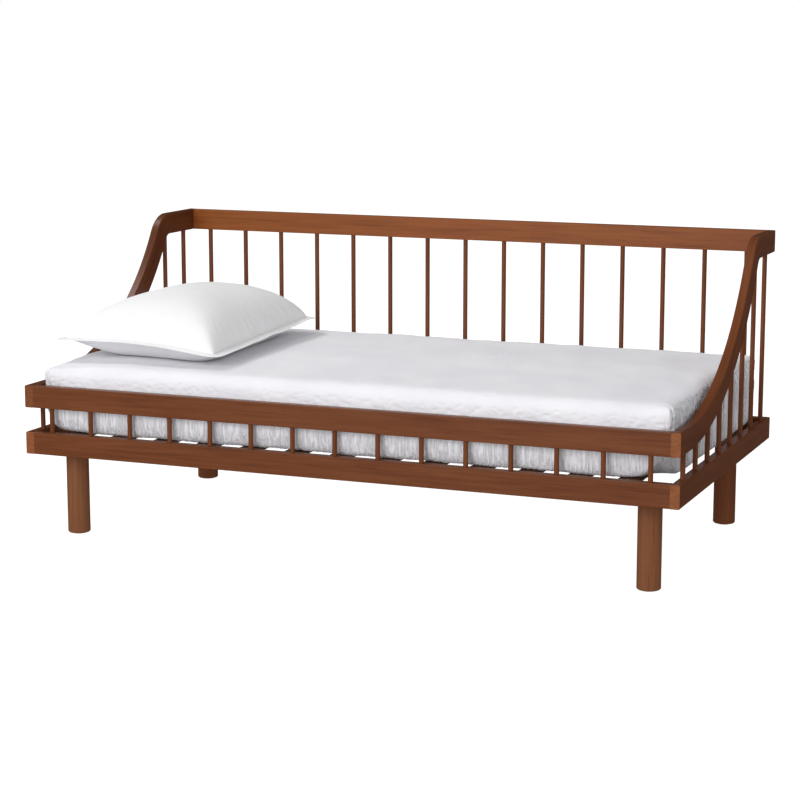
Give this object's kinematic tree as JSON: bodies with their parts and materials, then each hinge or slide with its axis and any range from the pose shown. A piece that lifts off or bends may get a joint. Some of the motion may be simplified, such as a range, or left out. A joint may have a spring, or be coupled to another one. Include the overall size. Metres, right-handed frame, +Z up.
{
  "type": "daybed",
  "caption": "Wooden daybed with two swept arms, round spindles on all four sides, four round legs and a slatted base, with a mattress and one flanged pillow.",
  "frame": {"origin": "on the floor under the middle of the bed's outline, seen from above", "axes": "+X along the bed's length to the right of a person facing its open front; +Z up; the front faces -Y"},
  "size_m": [1.9558, 1.0464, 0.8788],
  "materials": {
    "frame_wood": "satin",
    "support_wood": "matte",
    "slat_wood": "matte",
    "felt": "matte",
    "zinc_steel": "satin",
    "foam": "matte",
    "quilted_knit": "matte",
    "fibre_filling": "matte",
    "cotton_sham": "matte"
  },
  "bodies": {
    "frame": {"front_upper_rail": "frame_wood", "front_lower_rail": "frame_wood", "back_top_rail": "frame_wood", "back_lower_rail": "frame_wood", "left_arm": "frame_wood", "right_arm": "frame_wood", "left_lower_rail": "frame_wood", "right_lower_rail": "frame_wood", "front_spindles": "frame_wood", "back_spindles": "frame_wood", "left_spindle_1": "frame_wood", "left_spindle_2": "frame_wood", "left_spindle_3": "frame_wood", "left_spindle_4": "frame_wood", "left_spindle_5": "frame_wood", "left_spindle_6": "frame_wood", "left_spindle_7": "frame_wood", "left_spindle_8": "frame_wood", "right_spindle_1": "frame_wood", "right_spindle_2": "frame_wood", "right_spindle_3": "frame_wood", "right_spindle_4": "frame_wood", "right_spindle_5": "frame_wood", "right_spindle_6": "frame_wood", "right_spindle_7": "frame_wood", "right_spindle_8": "frame_wood", "front_ledger": "support_wood", "back_ledger": "support_wood", "slat_1": "slat_wood", "slat_2": "slat_wood", "slat_3": "slat_wood", "slat_4": "slat_wood", "slat_5": "slat_wood", "slat_6": "slat_wood", "slat_7": "slat_wood", "slat_8": "slat_wood", "slat_9": "slat_wood", "slat_10": "slat_wood", "slat_11": "slat_wood", "slat_12": "slat_wood", "slat_13": "slat_wood", "corner_block_front_left": "support_wood", "corner_block_front_right": "support_wood", "corner_block_back_left": "support_wood", "corner_block_back_right": "support_wood", "leg_front_left": "frame_wood", "leg_front_right": "frame_wood", "leg_back_left": "frame_wood", "leg_back_right": "frame_wood", "foot_pads": "felt", "hanger_bolts": "zinc_steel", "tee_nuts": "zinc_steel", "dowels": "support_wood", "cam_dowels": "zinc_steel", "cam_locks": "zinc_steel", "wood_screws": "zinc_steel"},
    "mattress": {"mattress_core": "foam", "mattress_cover": "quilted_knit"},
    "pillow": {"pillow_filling": "fibre_filling", "pillow_sham": "cotton_sham"}
  },
  "joints": [
    {"name": "mattress_lift", "type": "slide", "parent": "frame", "child": "mattress", "axis": [0, 0, 1], "range_m": [0, 0.62]},
    {"name": "pillow_lift", "type": "slide", "parent": "mattress", "child": "pillow", "axis": [0, 0, 1], "range_m": [0, 0.4]}
  ]
}
